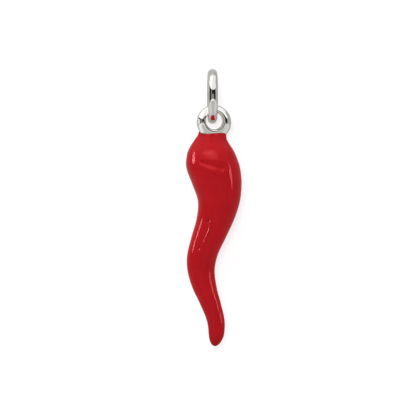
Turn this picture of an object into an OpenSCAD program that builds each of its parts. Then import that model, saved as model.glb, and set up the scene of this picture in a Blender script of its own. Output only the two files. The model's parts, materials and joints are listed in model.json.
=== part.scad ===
// Cornicello horn pendant: a curved silver horn under red enamel, hanging by its loop from a round jump ring.
// Millimetres, +Z up, +X to the right of the front view, +Y to the back.
// The origin is the inside of the ring's top, where a chain bears. The chain runs along X.

/* [Jump ring] */
// Outer diameter of the jump ring
ring_outer_d = 6.9; // [6:0.1:12]
// Diameter of the jump ring's round wire
ring_wire_d = 1.2; // [0.8:0.05:1.5]

/* [Loop] */
// Width of the loop's bar, from its hole to its outside
loop_bar_w = 1.1; // [0.8:0.01:1.6]
// How much lower the middle of the loop's outside lies than the middle of its hole
loop_drop = 0.2; // [0:0.05:0.3]
// Greatest depth of the loop, across its middle
loop_depth = 1.7; // [1.3:0.05:2.2]
// Depth of the loop's bar at its top
loop_top_depth = 0.9; // [0.8:0.05:1.6]
// How far the bar's crest stands towards the hole, as a share of half its width
loop_crest = 0.4; // [0:0.05:0.5]
// How round the loop's fullest level is, as a share of its half height
loop_ridge = 0.1; // [0.05:0.01:0.5]
// Room beside the ring's wire in the loop's hole
loop_play = 0.95; // [0.5:0.05:1.2]
// How far round the hole from its top the wire bears, in degrees
loop_bearing = 45; // [0:5:60]
// How far the loop is turned from square to the ring's wire, in degrees
loop_turn = 8; // [0:1:12]

/* [Horn] */
// Height of the horn from its shoulder to its tip
horn_h = 27.15; // [20:0.05:45]
// Greatest width of the horn, seen from the front
horn_w = 6.75; // [5:0.05:10]
// Greatest depth of the horn, from front to back
horn_d = 6.2; // [5:0.1:10]
// Width of the S that the middle of the horn swings through
horn_sway = 2.25; // [0:0.05:4]
// Height of the round end of the tip
tip_h = 1.75; // [1:0.05:3]

/* [Enamel] */
// Thickness of the enamel over the silver
enamel_t = 0.3; // [0.2:0.05:0.5]
// Slope of the enamel's upper edge, down to the right, in degrees
rim_slope = 6; // [0:1:12]

/* [Clearances] */
// Gap between the enamel and the silver under it
enamel_gap = 0.03; // [0.02:0.01:0.06]
// Width of the groove between the loop and the enamel round it
loop_groove = 0.08; // [0.03:0.01:0.15]
// Gap between the loop and the ring's wire where the loop hangs on it
hang_gap = 0.05; // [0.03:0.01:0.1]
// Gap between the loop's hole and the horn's shoulder under it
shoulder_gap = 0.03; // [0.02:0.01:0.2]

/* [Hidden] */

ring_r = (ring_outer_d - ring_wire_d) / 2;
ring_z = ring_wire_d - ring_outer_d / 2;
swing_z = ring_z - ring_r;

loop_hole_d = ring_wire_d + loop_play;
loop_r = (loop_hole_d + loop_bar_w) / 2;
// How much the ring's wire has risen where it leaves the loop
wire_rise = ring_r - sqrt(pow(ring_r, 2) - pow(loop_depth / 2, 2));
loop_offset = loop_play / 2 - loop_r * (1 - cos(loop_turn)) - wire_rise - hang_gap;
loop_x = loop_offset * sin(loop_bearing);
loop_z = swing_z - loop_offset * cos(loop_bearing);

shoulder_z = loop_z - loop_hole_d / 2 - shoulder_gap;

// The horn's sections, from the shoulder to the tip. The middle is measured from the plumb line under the wire.
DROP = 0;
MIDDLE = 1;
WIDTH = 2;
DEPTH = 3;
HORN = [
    // share of horn_h, of horn_sway, of horn_w, of horn_d
    [0.00, 0.025, 0.50, 0.16],
    [0.025, -0.02, 0.53, 0.25],
    [0.05, -0.095, 0.62, 0.41],
    [0.10, -0.08, 0.86, 0.74],
    [0.15, -0.01, 0.98, 0.915],
    [0.165, 0.02, 0.997, 0.95],
    [0.18, 0.055, 1.00, 0.968],
    [0.20, 0.11, 0.99, 0.975],
    [0.25, 0.25, 0.925, 0.925],
    [0.33, 0.365, 0.785, 0.80],
    [0.41, 0.18, 0.71, 0.69],
    [0.50, -0.22, 0.645, 0.605],
    [0.58, -0.555, 0.57, 0.54],
    [0.65, -0.63, 0.51, 0.485],
    [0.73, -0.435, 0.455, 0.42],
    [0.80, -0.125, 0.395, 0.36],
    [0.88, 0.18, 0.335, 0.30],
    [0.94, 0.225, 0.295, 0.26],
    [1.00, 0.15, 0.27, 0.235],
];
neck_left_x = HORN[0][MIDDLE] * horn_sway - HORN[0][WIDTH] * horn_w / 2;

// Half a section's size from which the enamel has its full thickness
full_coat_half = 1;
// How far the cuts run past what they cut
overshoot = 1;

outer_sides = 32;
outer_rings = 40;
inner_sides = 20;
inner_rings = 28;
loop_sides = 24;
loop_steps = 48;

// Slope of a column at row i, from the rows on either side
function slope_at(c, i) =
    let (a = max(i - 1, 0), b = min(i + 1, len(HORN) - 1))
    (HORN[b][c] - HORN[a][c]) / (HORN[b][DROP] - HORN[a][DROP]);

function row_above(s, i = 0) =
    i >= len(HORN) - 2 || s <= HORN[i + 1][DROP] ? i : row_above(s, i + 1);

// A column's value at share s of the height, on a smooth curve through the rows
function along(c, s) =
    let (i = row_above(s), h = HORN[i + 1][DROP] - HORN[i][DROP], x = (s - HORN[i][DROP]) / h)
    HORN[i][c] * (1 + 2 * x) * pow(1 - x, 2) + HORN[i + 1][c] * (3 - 2 * x) * pow(x, 2)
        + slope_at(c, i) * h * x * pow(1 - x, 2) - slope_at(c, i + 1) * h * (1 - x) * pow(x, 2);

// How much of the full size is left at share s, where the tip rounds off
function tip_round(s) =
    let (x = max(0, 1 - (1 - s) * horn_h / tip_h))
    sqrt(max(0, 1 - pow(x, 2)));

function set_in(half, inset) = half - inset * min(1, half / full_coat_half);

// One level section of the horn, inset from its outer surface
function section(s, inset, sides) =
    let (
        half_w = set_in(along(WIDTH, s) * horn_w * tip_round(s) / 2, inset),
        half_d = set_in(along(DEPTH, s) * horn_d * tip_round(s) / 2, inset),
        x = along(MIDDLE, s) * horn_sway,
        z = shoulder_z - s * (horn_h - inset)
    )
    [for (j = [0 : sides - 1]) [x + half_w * cos(360 * j / sides), half_d * sin(360 * j / sides), z]];

// A closed solid of the horn's form, inset from its outer surface, with its top raised by rise
module horn_form(inset, rise, rings, sides) {
    shares = [for (i = [0 : rings - 1]) (1 - cos(180 * i / rings)) / 2];
    raised = [for (p = section(0, inset, sides)) [p[0], p[1], p[2] + rise]];
    levels = concat(rise > 0 ? [raised] : [], [for (s = shares) section(s, inset, sides)]);
    tip = [along(MIDDLE, 1) * horn_sway, 0, shoulder_z - horn_h + inset];
    points = concat([for (level = levels) each level], [tip]);
    last = len(levels) - 1;
    top_face = [for (j = [0 : sides - 1]) sides - 1 - j];
    wall_faces = [
        for (i = [0 : last - 1], j = [0 : sides - 1])
            let (a = i * sides + j, b = i * sides + (j + 1) % sides)
            each [[a, b, b + sides], [a, b + sides, a + sides]]
    ];
    tip_faces = [for (j = [0 : sides - 1]) [last * sides + j, last * sides + (j + 1) % sides, len(points) - 1]];
    polyhedron(points, concat([top_face], wall_faces, tip_faces), convexity = 4);
}

// Half the width of the loop's bar at angle a round the loop
function bar_half(a) = (loop_bar_w - loop_drop * sin(a)) / 2;

// One section of the loop's bar at angle a round the loop, with the bar thickened all round by extra
function bar_section(a, extra) =
    [
        for (j = [0 : loop_sides - 1])
            let (
                v = 360 * j / loop_sides,
                reach = cos(v) - loop_crest * pow(sin(v), 2),
                r = loop_hole_d / 2 + bar_half(a) + (bar_half(a) + extra) * reach,
                level = (r * sin(a) + loop_drop) / (loop_hole_d / 2 + loop_bar_w),
                swell = 1 + loop_ridge - norm([level, loop_ridge]),
                half_d = (loop_top_depth + (loop_depth - loop_top_depth) * swell) / 2 + extra
            )
            [r * cos(a), half_d * sin(v), r * sin(a)]
    ];

// The loop, with its bar thickened all round by extra
module loop_form(extra) {
    points = [for (i = [0 : loop_steps - 1]) each bar_section(360 * i / loop_steps, extra)];
    faces = [
        for (i = [0 : loop_steps - 1], j = [0 : loop_sides - 1])
            let (
                a = i * loop_sides + j,
                b = i * loop_sides + (j + 1) % loop_sides,
                c = (i + 1) % loop_steps * loop_sides + (j + 1) % loop_sides,
                d = (i + 1) % loop_steps * loop_sides + j
            )
            each [[a, c, b], [a, d, c]]
    ];
    translate([loop_x, 0, loop_z])
        rotate([0, 0, loop_turn])
            polyhedron(points, faces, convexity = 4);
}

module jump_ring() {
    color("silver")
        translate([0, 0, ring_z])
            rotate([0, 90, 0])
                rotate_extrude($fn = 64)
                    translate([ring_r, 0])
                        circle(d = ring_wire_d, $fn = 24);
}

module silver_core() {
    color("gainsboro")
        union() {
            horn_form(enamel_t + enamel_gap, 0, inner_rings, inner_sides);
            loop_form(0);
        }
}

// What the enamel leaves bare at the top: all above its sloping edge, and the loop as far as the middle of its bar
module bare_top() {
    translate([neck_left_x, 0, shoulder_z])
        rotate([0, rim_slope, 0])
            translate([-overshoot, -horn_d / 2, 0])
                cube([horn_w, horn_d, overshoot]);
    translate([loop_x, 0, loop_z])
        rotate([90, 0, 0])
            cylinder(r = loop_r, h = horn_d, center = true, $fn = 48);
}

module enamel_coat() {
    color("firebrick")
        difference() {
            horn_form(0, 0, outer_rings, outer_sides);
            horn_form(enamel_t, overshoot, inner_rings, inner_sides);
            loop_form(loop_groove);
            bare_top();
        }
}

jump_ring();
silver_core();
enamel_coat();
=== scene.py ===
import json
import math

import bmesh
import bpy
from mathutils import Matrix, Vector


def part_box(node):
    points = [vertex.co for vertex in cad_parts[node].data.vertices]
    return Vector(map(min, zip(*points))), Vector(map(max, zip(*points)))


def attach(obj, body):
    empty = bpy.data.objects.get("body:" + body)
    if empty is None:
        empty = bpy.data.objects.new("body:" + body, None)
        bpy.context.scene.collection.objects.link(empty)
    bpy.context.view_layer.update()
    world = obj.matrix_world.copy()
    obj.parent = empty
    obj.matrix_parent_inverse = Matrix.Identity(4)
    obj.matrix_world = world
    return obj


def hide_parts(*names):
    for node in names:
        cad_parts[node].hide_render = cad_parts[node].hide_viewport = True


bl_info = {
    "name": "Cornicello Horn Pendant",
    "version": (1, 0, 0),
    "blender": (4, 5, 0),
    "location": "View3D > Sidebar > Pendant",
    "description": "Dresses the packed horn pendant: polished ring, cast silver loop and glossy red enamel",
    "category": "Add Mesh",
}

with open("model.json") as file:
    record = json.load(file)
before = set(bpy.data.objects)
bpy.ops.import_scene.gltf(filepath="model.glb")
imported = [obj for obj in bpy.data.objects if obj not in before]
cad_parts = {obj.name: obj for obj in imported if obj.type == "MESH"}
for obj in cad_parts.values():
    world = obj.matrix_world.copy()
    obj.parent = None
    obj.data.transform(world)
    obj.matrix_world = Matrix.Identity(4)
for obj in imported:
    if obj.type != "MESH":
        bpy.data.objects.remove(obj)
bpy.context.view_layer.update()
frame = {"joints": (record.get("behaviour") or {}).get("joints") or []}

MM = 0.001
MIDDLE_POINT = Vector((0, 0, -0.015))
RING_LOW, RING_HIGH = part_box("jump_ring")
COAT_LOW, COAT_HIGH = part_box("enamel_coat")
SWING = Vector(frame["joints"][0]["pos_m"])

# The horn's sections, from the shoulder to the tip, as shares of the horn's sizes
DROP, MIDDLE, WIDTH, DEPTH = range(4)
HORN = [
    (0.00, 0.025, 0.50, 0.16),
    (0.025, -0.02, 0.53, 0.25),
    (0.05, -0.095, 0.62, 0.41),
    (0.10, -0.08, 0.86, 0.74),
    (0.15, -0.01, 0.98, 0.915),
    (0.165, 0.02, 0.997, 0.95),
    (0.18, 0.055, 1.00, 0.968),
    (0.20, 0.11, 0.99, 0.975),
    (0.25, 0.25, 0.925, 0.925),
    (0.33, 0.365, 0.785, 0.80),
    (0.41, 0.18, 0.71, 0.69),
    (0.50, -0.22, 0.645, 0.605),
    (0.58, -0.555, 0.57, 0.54),
    (0.65, -0.63, 0.51, 0.485),
    (0.73, -0.435, 0.455, 0.42),
    (0.80, -0.125, 0.395, 0.36),
    (0.88, 0.18, 0.335, 0.30),
    (0.94, 0.225, 0.295, 0.26),
    (1.00, 0.15, 0.27, 0.235),
]

# Faces round and along each form
RING_FACES = (48, 160)
LOOP_FACES = (64, 160)
COAT_FACES = (128, 320)
INSIDE_FACES = (64, 120)

# How much closer the horn's faces stand at its front than at its sides
FRONT_DENSITY = 0.55

# Half a section's size from which the enamel has its full thickness
FULL_COAT_HALF = 1 * MM

# How far the cuts run past what they cut
OVERSHOOT = 1 * MM

# Flaws of the enamel's front, in millimetres: from and to in the front view (X and Z), reach above at
# either end, reach below at either end, and depth, which is negative for a raised line
FLAWS = (
    ((-1.2, -10.65), (1.0, -11.25), 0.45, 0.95, 0.18, 0.55, 0.24),
    ((-1.38, -10.45), (-1.38, -10.5), 0.25, 0.25, 0.2, 0.2, 0.13),
    ((-0.5, -17.65), (-0.62, -17.95), 0.3, 0.3, 0.18, 0.18, 0.22),
    ((-1.7, -21.1), (-1.75, -21.3), 0.3, 0.3, 0.18, 0.18, 0.22),
    ((-0.3, -18.4), (-1.1, -20.5), 0.15, 0.15, 0.12, 0.12, -0.125),
)


def length_prop(name, description, millimetres):
    return bpy.props.FloatProperty(
        name=name, description=description, default=millimetres * MM, unit="LENGTH", precision=5
    )


def angle_prop(name, description, degrees):
    return bpy.props.FloatProperty(
        name=name, description=description, default=math.radians(degrees), unit="ROTATION"
    )


def share_prop(name, description, default):
    return bpy.props.FloatProperty(
        name=name, description=description, default=default, min=0, max=1, subtype="FACTOR"
    )


def colour_prop(name, description, default):
    return bpy.props.FloatVectorProperty(
        name=name, description=description, default=default, size=3, min=0, max=1, subtype="COLOR"
    )


class RingSettings(bpy.types.PropertyGroup):
    outer: bpy.props.FloatProperty(
        name="Outer diameter", description="Outer diameter of the jump ring",
        default=RING_HIGH.z - RING_LOW.z, unit="LENGTH", precision=5,
    )
    wire: bpy.props.FloatProperty(
        name="Wire", description="Diameter of the ring's round wire",
        default=RING_HIGH.x - RING_LOW.x, unit="LENGTH", precision=5,
    )
    silver: colour_prop("Silver", "Colour of the ring's polished silver", (0.90, 0.89, 0.87))
    roughness: share_prop("Roughness", "Roughness of the polished wire", 0.05)


class CastingSettings(bpy.types.PropertyGroup):
    bar: length_prop("Loop bar", "Width of the loop's bar, from its hole to its outside", 1.1)
    drop: length_prop("Drop", "How much lower the middle of the loop's outside lies than its hole's", 0.2)
    depth: length_prop("Loop depth", "Greatest depth of the loop, across its middle", 1.7)
    top_depth: length_prop("Top depth", "Depth of the loop's bar at its top", 0.9)
    play: length_prop("Play", "Room beside the ring's wire in the loop's hole", 0.95)
    bearing: angle_prop("Bearing", "How far round the hole from its top the wire bears", 45)
    turn: angle_prop("Turn", "How far the loop is turned from square to the wire", 8)
    hang_gap: length_prop("Hang gap", "Gap between the loop and the wire that carries it", 0.05)
    crest: share_prop("Crest", "How far the bar's crest stands to the hole, as a share of half the bar", 0.4)
    ridge: share_prop("Ridge", "How round the loop's fullest level is, as a share of its half height", 0.1)
    silver: colour_prop("Silver", "Colour of the cast silver", (0.91, 0.90, 0.88))
    roughness: share_prop("Roughness", "Roughness of the cast silver", 0.07)


class EnamelSettings(bpy.types.PropertyGroup):
    width: length_prop("Width", "Greatest width of the horn", 6.75)
    depth: length_prop("Depth", "Greatest depth of the horn", 6.2)
    sway: length_prop("Sway", "Width of the S that the horn's middle swings through", 2.25)
    height: length_prop("Height", "Height from the shoulder to the tip", 27.15)
    tip: length_prop("Tip", "Height of the round end of the tip", 1.75)
    coat: length_prop("Thickness", "Thickness of the enamel over the silver", 0.3)
    gap: length_prop("Gap", "Gap between the enamel and the silver under it", 0.03)
    groove: length_prop("Groove", "Groove between the loop and the enamel round it", 0.08)
    rim_slope: angle_prop("Rim slope", "Slope of the enamel's upper edge, down to the right", 6)
    red: colour_prop("Red", "Colour of the enamel", (0.64, 0.014, 0.020))
    # The darker red serves the enamel's random tone and also painted shade towards the tip.
    varied_and_shaded_red: colour_prop("Deep red", "Colour where the enamel is thicker", (0.42, 0.010, 0.015))
    roughness: share_prop("Roughness", "Roughness of the fired enamel", 0.09)


class StageSettings(bpy.types.PropertyGroup):
    view_width: length_prop("View width", "Width of the view in the pendant's plane", 50.125)
    lens: bpy.props.FloatProperty(name="Lens", description="Focal length, in millimetres", default=200)
    view_x: length_prop("View centre X", "Middle of the view, across", -1.554)
    view_z: length_prop("View centre Z", "Middle of the view, in height", -15.23)
    azimuth: angle_prop("Azimuth", "How far to the right of straight on the camera stands", -1.5)


def settings():
    return bpy.context.scene.horn_pendant


# Form helpers


def slope_at(column, i):
    a, b = max(i - 1, 0), min(i + 1, len(HORN) - 1)
    return (HORN[b][column] - HORN[a][column]) / (HORN[b][DROP] - HORN[a][DROP])


def along(column, share):
    """A column's value at a share of the horn's height, on a smooth curve through the rows."""
    i = 0
    while i < len(HORN) - 2 and share > HORN[i + 1][DROP]:
        i += 1
    run = HORN[i + 1][DROP] - HORN[i][DROP]
    x = (share - HORN[i][DROP]) / run
    return (
        HORN[i][column] * (1 + 2 * x) * (1 - x) ** 2
        + HORN[i + 1][column] * (3 - 2 * x) * x ** 2
        + slope_at(column, i) * run * x * (1 - x) ** 2
        - slope_at(column, i + 1) * run * (1 - x) * x ** 2
    )


def set_in(half, inset):
    return half - inset * min(1, half / FULL_COAT_HALF)


def section(share, inset):
    """Centre, half width and half depth of the horn's level section at a share of its height."""
    e = settings().enamel
    x = max(0, 1 - (1 - share) * e.height / e.tip)
    left = math.sqrt(max(0, 1 - x * x))
    half_w = set_in(along(WIDTH, share) * e.width * left / 2, inset)
    half_d = set_in(along(DEPTH, share) * e.depth * left / 2, inset)
    centre = Vector((along(MIDDLE, share) * e.sway, 0, shoulder_z() - share * (e.height - inset)))
    return centre, half_w, half_d


def loop_place():
    """Centre of the loop and radius of its bar's centre line."""
    c = settings().casting
    wire = settings().ring.wire
    radius = (wire + c.play + c.bar) / 2
    ring_radius = (settings().ring.outer - wire) / 2
    wire_rise = ring_radius - math.sqrt(ring_radius ** 2 - (c.depth / 2) ** 2)
    offset = c.play / 2 - radius * (1 - math.cos(c.turn)) - wire_rise - c.hang_gap
    centre = SWING + Vector((offset * math.sin(c.bearing), 0, -offset * math.cos(c.bearing)))
    return centre, radius


def shoulder_z():
    return COAT_LOW.z + settings().enamel.height


def turn(bm, angle, axis):
    bmesh.ops.rotate(bm, verts=bm.verts[:], cent=(0, 0, 0), matrix=Matrix.Rotation(angle, 3, axis))


def move(bm, by):
    bmesh.ops.translate(bm, vec=by, verts=bm.verts[:])


def new_verts(grown):
    return [g for g in grown if isinstance(g, bmesh.types.BMVert)]


def lofted_horn(inset, rise, sides, rings):
    """A closed horn, extruded ring by ring from the shoulder down, with its top raised by rise."""
    bm = bmesh.new()
    shares = [(1 - math.cos(math.pi * i / rings)) / 2 for i in range(rings)]
    centre, half_w, half_d = section(0, inset)
    ring = bmesh.ops.create_circle(bm, segments=sides, radius=1, cap_ends=True)["verts"]
    for vert in ring:
        angle = math.atan2(vert.co.y, vert.co.x)
        angle -= FRONT_DENSITY * math.cos(angle)
        vert.co.x, vert.co.y = math.cos(angle), math.sin(angle)
    at, was_w, was_d = centre + Vector((0, 0, rise)), half_w, half_d
    bmesh.ops.scale(bm, vec=(half_w, half_d, 1), verts=ring)
    bmesh.ops.translate(bm, vec=at, verts=ring)
    edges = bm.edges[:]
    for share in shares if rise else shares[1:]:
        centre, half_w, half_d = section(share, inset)
        grown = bmesh.ops.extrude_edge_only(bm, edges=edges)["geom"]
        ring = new_verts(grown)
        fresh = set(ring)
        edges = [g for g in grown if isinstance(g, bmesh.types.BMEdge) and fresh.issuperset(g.verts)]
        bmesh.ops.translate(bm, vec=-at, verts=ring)
        bmesh.ops.scale(bm, vec=(half_w / was_w, half_d / was_d, 1), verts=ring)
        bmesh.ops.translate(bm, vec=centre, verts=ring)
        at, was_w, was_d = centre, half_w, half_d
    grown = bmesh.ops.extrude_edge_only(bm, edges=edges)["geom"]
    bmesh.ops.pointmerge(bm, verts=new_verts(grown), merge_co=section(1, inset)[0])
    bmesh.ops.recalc_face_normals(bm, faces=bm.faces[:])
    return bm


def dent(bm, start, end, reach_start, reach_end, below_start, below_end, deep):
    """Presses a shallow trough into the horn's front, straight above its line and rounded below it."""
    start, end = Vector(start) * MM, Vector(end) * MM
    run = end - start
    for vert in bm.verts:
        if vert.co.y < 0:
            at = Vector((vert.co.x, vert.co.z)) - start
            share = min(1, max(0, at.dot(run) / run.length_squared))
            off = at - run * share
            if off.y > 0:
                reach = reach_start + (reach_end - reach_start) * share
                part = max(0, 1 - off.length / (reach * MM))
            else:
                below = below_start + (below_end - below_start) * share
                part = math.exp(-(off.length / (below * MM)) ** 2)
            vert.co.y += deep * MM * part


def bent_round(bm, bar, radius, steps):
    """Bends a bar, given by the vertices of its section, into a ring round Z."""
    bmesh.ops.rotate(bm, verts=bar, cent=(0, 0, 0), matrix=Matrix.Rotation(math.pi / 2, 3, "X"))
    bmesh.ops.translate(bm, vec=(radius, 0, 0), verts=bar)
    bmesh.ops.spin(
        bm, geom=bm.verts[:] + bm.edges[:], cent=(0, 0, 0), axis=(0, 0, 1), dvec=(0, 0, 0),
        angle=2 * math.pi, steps=steps, use_merge=True, use_duplicate=False,
    )


def torus(centre, radius, bar, around, steps):
    """A round bar of diameter bar bent into a ring about centre, its hole along X."""
    bm = bmesh.new()
    circle = bmesh.ops.create_circle(bm, segments=around, radius=bar / 2)["verts"]
    bent_round(bm, circle, radius, steps)
    turn(bm, math.pi / 2, "Y")
    move(bm, centre)
    bmesh.ops.recalc_face_normals(bm, faces=bm.faces[:])
    return bm


def cast_loop(extra):
    """The loop: a bar whose crest stands towards the hole, deepest across the loop's middle."""
    c = settings().casting
    centre, radius = loop_place()
    half = c.bar / 2 + extra
    around, steps = LOOP_FACES
    bm = bmesh.new()
    bar = bmesh.ops.create_circle(bm, segments=around, radius=half)["verts"]
    for vert in bar:
        vert.co.x -= c.crest * vert.co.y ** 2 / half
    bent_round(bm, bar, radius, steps)
    turn(bm, math.pi / 2, "X")
    for vert in bm.verts:
        away = math.hypot(vert.co.x, vert.co.z)
        half_here = (c.bar - c.drop * vert.co.z / away) / 2
        reach = (away - radius) / half
        grown = (radius - c.bar / 2 + half_here + (half_here + extra) * reach) / away
        vert.co.x *= grown
        vert.co.z *= grown
        level = (vert.co.z + c.drop) / (radius + c.bar / 2)
        swell = 1 + c.ridge - math.hypot(level, c.ridge)
        vert.co.y *= ((c.top_depth + (c.depth - c.top_depth) * swell) / 2 + extra) / half
    turn(bm, c.turn, "Z")
    move(bm, centre)
    bmesh.ops.recalc_face_normals(bm, faces=bm.faces[:])
    return bm


def tilted_slab(corner, slope, width, depth, height):
    """A slab that stands on a point, sloping down to the right."""
    bm = bmesh.new()
    bmesh.ops.create_cube(bm, size=1)
    bmesh.ops.scale(bm, vec=(width, depth, height), verts=bm.verts[:])
    move(bm, (0, 0, height / 2))
    turn(bm, slope, "Y")
    move(bm, corner)
    return bm


def cylinder(centre, radius, length, around):
    """A cylinder about centre, along Y."""
    bm = bmesh.new()
    bmesh.ops.create_cone(bm, cap_ends=True, segments=around, radius1=radius, radius2=radius, depth=length)
    turn(bm, math.pi / 2, "X")
    move(bm, centre)
    return bm


def shade_smooth(mesh):
    for polygon in mesh.polygons:
        polygon.use_smooth = True


def made(name, bm):
    """An object in the scene from a bmesh, which is freed."""
    mesh = bpy.data.meshes.new(name)
    bm.to_mesh(mesh)
    bm.free()
    obj = bpy.data.objects.new(name, mesh)
    bpy.context.scene.collection.objects.link(obj)
    return obj


def finished(name, bm, material, body, node):
    """A smooth piece from a bmesh, with its material and body; the CAD node it stands for is hidden."""
    obj = made(name, bm)
    shade_smooth(obj.data)
    obj.data.materials.append(material)
    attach(obj, body)
    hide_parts(node)
    return obj


def cut(target, other, operation):
    """Joins or cuts target with another solid, which is then removed."""
    modifier = target.modifiers.new(operation.lower(), "BOOLEAN")
    modifier.operation = operation
    modifier.solver = "EXACT"
    modifier.object = other
    graph = bpy.context.evaluated_depsgraph_get()
    mesh = bpy.data.meshes.new_from_object(target.evaluated_get(graph))
    target.modifiers.clear()
    target.data = mesh
    shade_smooth(mesh)
    bpy.data.objects.remove(other)


# Materials

# Where most values of a noise lie
NOISE_RANGE = {"From Min": 0.3, "From Max": 0.7}

# Share of each colour that a trace of tarnish leaves
TARNISH = (0.93, 0.92, 0.90)


class Nodes:
    """Short calls for building a node tree."""

    def __init__(self, tree):
        self.tree = tree
        tree.nodes.clear()

    def add(self, kind, values=None, **properties):
        node = self.tree.nodes.new(kind)
        for name, value in properties.items():
            setattr(node, name, value)
        for name, value in (values or {}).items():
            node.inputs[name].default_value = value
        return node

    def link(self, a, out, b, into):
        self.tree.links.new(a.outputs[out], b.inputs[into])


def new_material(name):
    material = bpy.data.materials.new(name)
    material.use_nodes = True
    return material, Nodes(material.node_tree)


def polished_silver(name, colour, roughness, grain, wave):
    """Bright silver with fine polishing marks, a soft waviness and a trace of tarnish."""
    material, n = new_material(name)
    out = n.add("ShaderNodeOutputMaterial")
    shader = n.add("ShaderNodeBsdfPrincipled", {"Metallic": 1.0})
    place = n.add("ShaderNodeTexCoord")
    stain = n.add("ShaderNodeTexNoise", {"Scale": 700.0, "Detail": 4.0})
    tint = n.add("ShaderNodeMix", data_type="RGBA")
    tint.inputs["A"].default_value = (*colour, 1)
    tint.inputs["B"].default_value = (*(c * left for c, left in zip(colour, TARNISH)), 1)
    marks = n.add("ShaderNodeTexNoise", {"Scale": grain, "Detail": 6.0, "Roughness": 0.6})
    rough = n.add("ShaderNodeMapRange", {
        **NOISE_RANGE, "To Min": roughness * 0.75, "To Max": roughness * 1.3})
    dents = n.add("ShaderNodeTexNoise", {"Scale": wave, "Detail": 2.0})
    soft = n.add("ShaderNodeBump", {"Strength": 0.25, "Distance": 0.00003})
    fine = n.add("ShaderNodeBump", {"Strength": 0.08, "Distance": 0.000006})
    for texture in (stain, marks, dents):
        n.link(place, "Object", texture, "Vector")
    n.link(stain, "Fac", tint, "Factor")
    n.link(tint, "Result", shader, "Base Color")
    n.link(marks, "Fac", rough, "Value")
    n.link(rough, "Result", shader, "Roughness")
    n.link(dents, "Fac", soft, "Height")
    n.link(marks, "Fac", fine, "Height")
    n.link(soft, "Normal", fine, "Normal")
    n.link(fine, "Normal", shader, "Normal")
    n.link(shader, "BSDF", out, "Surface")
    return material


def red_enamel():
    """Fired enamel: a deep glossy red with a clear surface, slight flow, colour variation and painted shade
    darkening it towards the tip.
    """
    e = settings().enamel
    material, n = new_material("glossy_red_enamel")
    out = n.add("ShaderNodeOutputMaterial")
    shader = n.add("ShaderNodeBsdfPrincipled", {
        "IOR": 1.46, "Specular IOR Level": 0.15, "Specular Tint": (1.0, 0.2, 0.22, 1)})
    place = n.add("ShaderNodeTexCoord")
    cloud = n.add("ShaderNodeTexNoise", {"Scale": 180.0, "Detail": 3.0})
    tint = n.add("ShaderNodeMix", data_type="RGBA")
    tint.inputs["A"].default_value = (*e.red, 1)
    tint.inputs["B"].default_value = (*e.varied_and_shaded_red, 1)
    grain = n.add("ShaderNodeTexNoise", {"Scale": 2500.0, "Detail": 4.0})
    rough = n.add("ShaderNodeMapRange", {
        **NOISE_RANGE, "To Min": e.roughness * 0.8, "To Max": e.roughness * 1.25})
    flow = n.add("ShaderNodeTexNoise", {"Scale": 350.0, "Detail": 1.0})
    bump = n.add("ShaderNodeBump", {"Strength": 0.08, "Distance": 0.00003})
    for texture in (cloud, grain, flow):
        n.link(place, "Object", texture, "Vector")
    split = n.add("ShaderNodeSeparateXYZ")
    # Painted shade: the enamel turns to the darker red towards the tip, from its end up to twice the round
    # end's height.
    tip_shade_mask = n.add("ShaderNodeMapRange", {
        "From Min": COAT_LOW.z, "From Max": COAT_LOW.z + 2 * e.tip, "To Min": 1.0, "To Max": 0.0})
    tone_and_tip_shade = n.add("ShaderNodeMath", operation="MAXIMUM")
    n.link(place, "Object", split, "Vector")
    n.link(split, "Z", tip_shade_mask, "Value")
    n.link(cloud, "Fac", tone_and_tip_shade, 0)
    n.link(tip_shade_mask, "Result", tone_and_tip_shade, 1)
    n.link(tone_and_tip_shade, "Value", tint, "Factor")
    n.link(tint, "Result", shader, "Base Color")
    n.link(grain, "Fac", rough, "Value")
    n.link(rough, "Result", shader, "Roughness")
    n.link(flow, "Fac", bump, "Height")
    n.link(bump, "Normal", shader, "Normal")
    n.link(shader, "BSDF", out, "Surface")
    return material


# Pieces


class MESH_OT_pendant_ring(bpy.types.Operator):
    """Make the round jump ring of polished silver wire"""

    bl_idname = "mesh.pendant_ring"
    bl_label = "Jump Ring"

    def execute(self, context):
        r = settings().ring
        centre = (RING_LOW + RING_HIGH) / 2
        bm = torus(centre, (r.outer - r.wire) / 2, r.wire, *RING_FACES)
        silver = polished_silver("ring_silver", r.silver, r.roughness, grain=9000.0, wave=900.0)
        finished("ring_of_wire", bm, silver, "ring", "jump_ring")
        return {"FINISHED"}


class MESH_OT_pendant_casting(bpy.types.Operator):
    """Make the silver casting: the loop and the core under the enamel"""

    bl_idname = "mesh.pendant_casting"
    bl_label = "Silver Casting"

    def execute(self, context):
        c, e = settings().casting, settings().enamel
        silver = polished_silver("cast_silver", c.silver, c.roughness, grain=6000.0, wave=700.0)
        bm = lofted_horn(e.coat + e.gap, 0, *INSIDE_FACES)
        core = finished("cast_loop_and_core", bm, silver, "horn", "silver_core")
        cut(core, made("loop", cast_loop(0)), "UNION")
        return {"FINISHED"}


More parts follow.
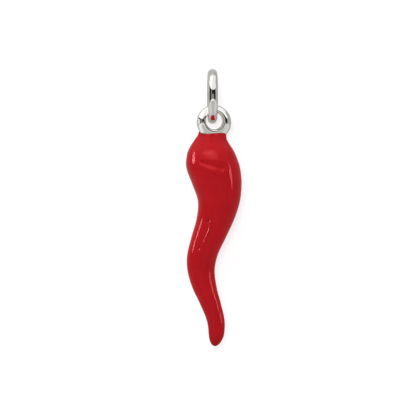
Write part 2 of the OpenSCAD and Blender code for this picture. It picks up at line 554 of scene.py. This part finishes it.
class MESH_OT_pendant_enamel(bpy.types.Operator):
    """Make the red enamel over the horn"""

    bl_idname = "mesh.pendant_enamel"
    bl_label = "Enamel"

    def execute(self, context):
        e = settings().enamel
        centre, radius = loop_place()
        neck, half_w, _ = section(0, 0)
        bm = lofted_horn(0, 0, *COAT_FACES)
        for flaw in FLAWS:
            dent(bm, *flaw)
        enamel = finished("red_enamel_coat", bm, red_enamel(), "horn", "enamel_coat")
        corner = neck - Vector((half_w, 0, 0))
        slab = tilted_slab(corner, e.rim_slope, 3 * e.width, 2 * e.depth, OVERSHOOT)
        for name, solid in (
            ("inside", lofted_horn(e.coat, OVERSHOOT, *INSIDE_FACES)),
            ("loop", cast_loop(e.groove)),
            ("above", slab),
            ("round", cylinder(centre, radius, e.depth, LOOP_FACES[1])),
        ):
            cut(enamel, made(name, solid), "DIFFERENCE")
        return {"FINISHED"}


# Stage

# Places of the floor and of the paper behind the pendant, and the size of both
FLOOR_Z = -0.09
PAPER_Y = 0.0045
SHEET_SIZE = 2.0

# Width of the camera's sensor, in millimetres
SENSOR_WIDTH = 36

# The grey room that the pendant mirrors
ROOM_GREY = (0.54, 0.532, 0.515, 1)

# Distances of the lights from the pendant
STUDIO_DISTANCE = 0.4
KEY_DISTANCE = 0.18

# Lights, each a tall soft panel: name, azimuth, elevation from and to, width, radiance.
# Azimuth 0 is to the front and 90 to the right; all angles are in degrees.
KEY_LIGHT = ("soft_key", -38, 35, 85, 0.18, 1.42)
ENAMEL_LIGHTS = (
    ("left_strip", -84, 6, 36, 0.085, 22.0),
    ("right_strip", 67, -9, 27, 0.08, 18.0),
    ("wide_glow", -6, 34, 66, 0.36, 2.8),
    ("middle_glow", -6, 38, 62, 0.26, 2.8),
    ("small_glow", -6, 43, 57, 0.16, 3.2),
)
CASTING_LIGHTS = (
    ("left_card", -84, -10, 20, 0.28, 0.8),
    ("low_card", -62, -50, -14, 0.3, 0.25),
    ("right_card", 38, 28, 80, 0.4, 0.12),
)
PAPER_LIGHTS = (("paper_light", -6, 2, 12, 0.07, 50.0),)


def direction(azimuth, elevation):
    a, e = math.radians(azimuth), math.radians(elevation)
    return Vector((math.sin(a) * math.cos(e), -math.cos(a) * math.cos(e), math.sin(e)))


def panel(name, azimuth, low, high, width, radiance, distance=STUDIO_DISTANCE):
    """A soft light panel that faces the pendant, its middle line between two elevations."""
    low = MIDDLE_POINT + direction(azimuth, low) * distance
    high = MIDDLE_POINT + direction(azimuth, high) * distance
    light = bpy.data.lights.new(name, "AREA")
    light.shape = "RECTANGLE"
    light.size, light.size_y = width, (high - low).length
    light.energy = radiance * math.pi * light.size * light.size_y
    obj = bpy.data.objects.new(name, light)
    bpy.context.scene.collection.objects.link(obj)
    up = (high - low).normalized()
    back = (low + high) / 2 - MIDDLE_POINT
    back = (back - up * back.dot(up)).normalized()
    facing = Matrix((up.cross(back), up, back)).transposed().to_4x4()
    obj.matrix_world = Matrix.Translation((low + high) / 2) @ facing
    obj.visible_camera = False
    return obj


def light_only(obj, lights):
    """Panels that light one object alone."""
    receivers = bpy.data.collections.new(obj.name + "_only")
    receivers.objects.link(obj)
    panels = [panel(*light) for light in lights]
    for light in panels:
        light.light_linking.receiver_collection = receivers
    return panels


def paper_behind():
    """White paper that glows a little, seen from the front and clear from behind."""
    material, n = new_material("white_paper")
    out = n.add("ShaderNodeOutputMaterial")
    face = n.add("ShaderNodeNewGeometry")
    clear = n.add("ShaderNodeBsdfTransparent")
    paper = n.add("ShaderNodeBsdfPrincipled", {
        "Base Color": (0.3, 0.3, 0.3, 1), "Roughness": 1.0, "Specular IOR Level": 0.0,
        "Emission Color": (1, 1, 1, 1), "Emission Strength": 0.70})
    pick = n.add("ShaderNodeMixShader")
    n.link(face, "Backfacing", pick, "Fac")
    n.link(paper, "BSDF", pick, 1)
    n.link(clear, "BSDF", pick, 2)
    n.link(pick, "Shader", out, "Surface")
    return material


# Zones of the studio round the pendant: azimuth from and to, elevation from and to, soft edge, radiance.
# A later zone covers an earlier one.
STUDIO_ZONES = (
    (80, 150, -90, 90, 6, 0.42),
    (-115, -52, -60, -13, 3, 0.70),
    (46, 108, -60, -13, 3, 0.68),
    (-125, 125, 42, 90, 3, 0.92),
    (-180, 180, 74, 91, 3, 0.92),
    (-112, -27, 25, 90, 2, 1.28),
    (-15, 78, 25, 90, 5, 0.94),
    (-27, -15, 25, 70, 3, 0.80),
    (-100, 62, -13, 25, 1.5, 0.015),
    (-52, -30, -13, 25, 2, 0.26),
    (-30, 20, -13, 8, 2, 0.28),
    (-55, 30, -20, -13, 1, 0.95),
)


def studio_world():
    """White to the camera, and to reflections a grey room with softboxes, dark round the camera."""
    world = bpy.data.worlds.new("studio")
    world.use_nodes = True
    n = Nodes(world.node_tree)
    out = n.add("ShaderNodeOutputWorld")
    seen = n.add("ShaderNodeBackground", {"Color": (1, 1, 1, 1), "Strength": 1.0})
    room = n.add("ShaderNodeBackground", {"Strength": 1.0})
    path = n.add("ShaderNodeLightPath")
    pick = n.add("ShaderNodeMixShader")
    place = n.add("ShaderNodeTexCoord")
    split = n.add("ShaderNodeSeparateXYZ")
    front = n.add("ShaderNodeMath", operation="MULTIPLY")
    front.inputs[1].default_value = -1
    azimuth = n.add("ShaderNodeMath", operation="ARCTAN2")
    elevation = n.add("ShaderNodeMath", operation="ARCSINE")
    n.link(place, "Generated", split, "Vector")
    n.link(split, "Y", front, 0)
    n.link(split, "X", azimuth, 0)
    n.link(front, "Value", azimuth, 1)
    n.link(split, "Z", elevation, 0)

    def edge(angle, at, soft):
        """0 to 1 across an edge at an angle, the other way for a negative softness."""
        node = n.add("ShaderNodeMapRange", {
            "From Min": math.radians(at - soft), "From Max": math.radians(at + soft)},
            interpolation_type="SMOOTHSTEP")
        n.link(angle, "Value", node, "Value")
        return node

    def both(a, b):
        node = n.add("ShaderNodeMath", operation="MULTIPLY")
        n.link(a, 0, node, 0)
        n.link(b, 0, node, 1)
        return node

    grey = n.add("ShaderNodeRGB")
    grey.outputs[0].default_value = ROOM_GREY
    last, last_out = grey, "Color"
    for left, right, low, high, soft, radiance in STUDIO_ZONES:
        across = both(edge(azimuth, left, soft), edge(azimuth, right, -soft))
        upright = both(edge(elevation, low, soft), edge(elevation, high, -soft))
        inside = both(across, upright)
        mix = n.add("ShaderNodeMix", data_type="RGBA")
        mix.inputs["B"].default_value = (radiance, radiance, radiance, 1)
        n.link(inside, "Value", mix, "Factor")
        n.link(last, last_out, mix, "A")
        last, last_out = mix, "Result"
    n.link(last, last_out, room, "Color")
    n.link(path, "Is Camera Ray", pick, "Fac")
    n.link(room, "Background", pick, 1)
    n.link(seen, "Background", pick, 2)
    n.link(pick, "Shader", out, "Surface")
    bpy.context.scene.world = world


def matte(name, colour):
    material, n = new_material(name)
    out = n.add("ShaderNodeOutputMaterial")
    shader = n.add("ShaderNodeBsdfPrincipled", {"Base Color": (*colour, 1), "Roughness": 0.9})
    n.link(shader, "BSDF", out, "Surface")
    return material


def sheet(name, material, matrix):
    bm = bmesh.new()
    bmesh.ops.create_grid(bm, x_segments=1, y_segments=1, size=SHEET_SIZE / 2)
    bmesh.ops.transform(bm, matrix=matrix, verts=bm.verts[:])
    obj = made(name, bm)
    obj.data.materials.append(material)
    obj.visible_glossy = False
    return obj


class SCENE_OT_pendant_stage(bpy.types.Operator):
    """Make the pale floor, the paper behind, the soft lights and the camera"""

    bl_idname = "scene.pendant_stage"
    bl_label = "Stage"

    def execute(self, context):
        s = settings().stage
        scene = context.scene
        scene.view_settings.view_transform = "Standard"
        scene.view_settings.look = "None"
        studio_world()
        sheet("pale_floor", matte("floor_paper", (0.9, 0.9, 0.9)), Matrix.Translation((0, 0, FLOOR_Z)))
        upright = Matrix.Rotation(math.pi / 2, 4, "X")
        wall = sheet("paper_behind", paper_behind(), Matrix.Translation((0, PAPER_Y, 0)) @ upright)
        wall.visible_diffuse = wall.visible_shadow = False
        key = panel(*KEY_LIGHT, distance=KEY_DISTANCE)
        key.visible_glossy = False
        for light in light_only(bpy.data.objects["red_enamel_coat"], ENAMEL_LIGHTS):
            light.data.shape = "ELLIPSE"
            light.visible_diffuse = False
        for light in light_only(bpy.data.objects["cast_loop_and_core"], CASTING_LIGHTS):
            light.visible_diffuse = False
        light_only(wall, PAPER_LIGHTS)
        data = bpy.data.cameras.new("camera")
        data.lens, data.sensor_width = s.lens, SENSOR_WIDTH
        camera = bpy.data.objects.new("camera", data)
        scene.collection.objects.link(camera)
        aim = Vector((s.view_x, 0, s.view_z))
        back = direction(math.degrees(s.azimuth), 0)
        camera.location = aim + back * (s.lens * s.view_width / SENSOR_WIDTH)
        camera.rotation_euler = (-back).to_track_quat("-Z", "Y").to_euler()
        data.clip_start, data.clip_end = 0.01, 10
        scene.camera = camera
        return {"FINISHED"}


class PendantSettings(bpy.types.PropertyGroup):
    ring: bpy.props.PointerProperty(type=RingSettings)
    casting: bpy.props.PointerProperty(type=CastingSettings)
    enamel: bpy.props.PointerProperty(type=EnamelSettings)
    stage: bpy.props.PointerProperty(type=StageSettings)


class VIEW3D_PT_pendant(bpy.types.Panel):
    bl_idname = "VIEW3D_PT_pendant"
    bl_label = "Horn Pendant"
    bl_space_type = "VIEW_3D"
    bl_region_type = "UI"
    bl_category = "Pendant"

    def draw(self, context):
        for group, operator in GROUPS:
            box = self.layout.box()
            values = getattr(settings(), group)
            for name in values.bl_rna.properties.keys():
                if name not in ("rna_type", "name"):
                    box.prop(values, name)
            box.operator(operator.bl_idname)


GROUPS = (
    ("ring", MESH_OT_pendant_ring),
    ("casting", MESH_OT_pendant_casting),
    ("enamel", MESH_OT_pendant_enamel),
    ("stage", SCENE_OT_pendant_stage),
)
CLASSES = (
    RingSettings, CastingSettings, EnamelSettings, StageSettings, PendantSettings,
    MESH_OT_pendant_ring, MESH_OT_pendant_casting, MESH_OT_pendant_enamel, SCENE_OT_pendant_stage,
    VIEW3D_PT_pendant,
)


def register():
    for cls in CLASSES:
        bpy.utils.register_class(cls)
    bpy.types.Scene.horn_pendant = bpy.props.PointerProperty(type=PendantSettings)


def unregister():
    del bpy.types.Scene.horn_pendant
    for cls in reversed(CLASSES):
        bpy.utils.unregister_class(cls)


def main():
    register()
    bpy.ops.mesh.pendant_ring()
    bpy.ops.mesh.pendant_casting()
    bpy.ops.mesh.pendant_enamel()
    bpy.ops.scene.pendant_stage()


if __name__ == "__main__":
    main()
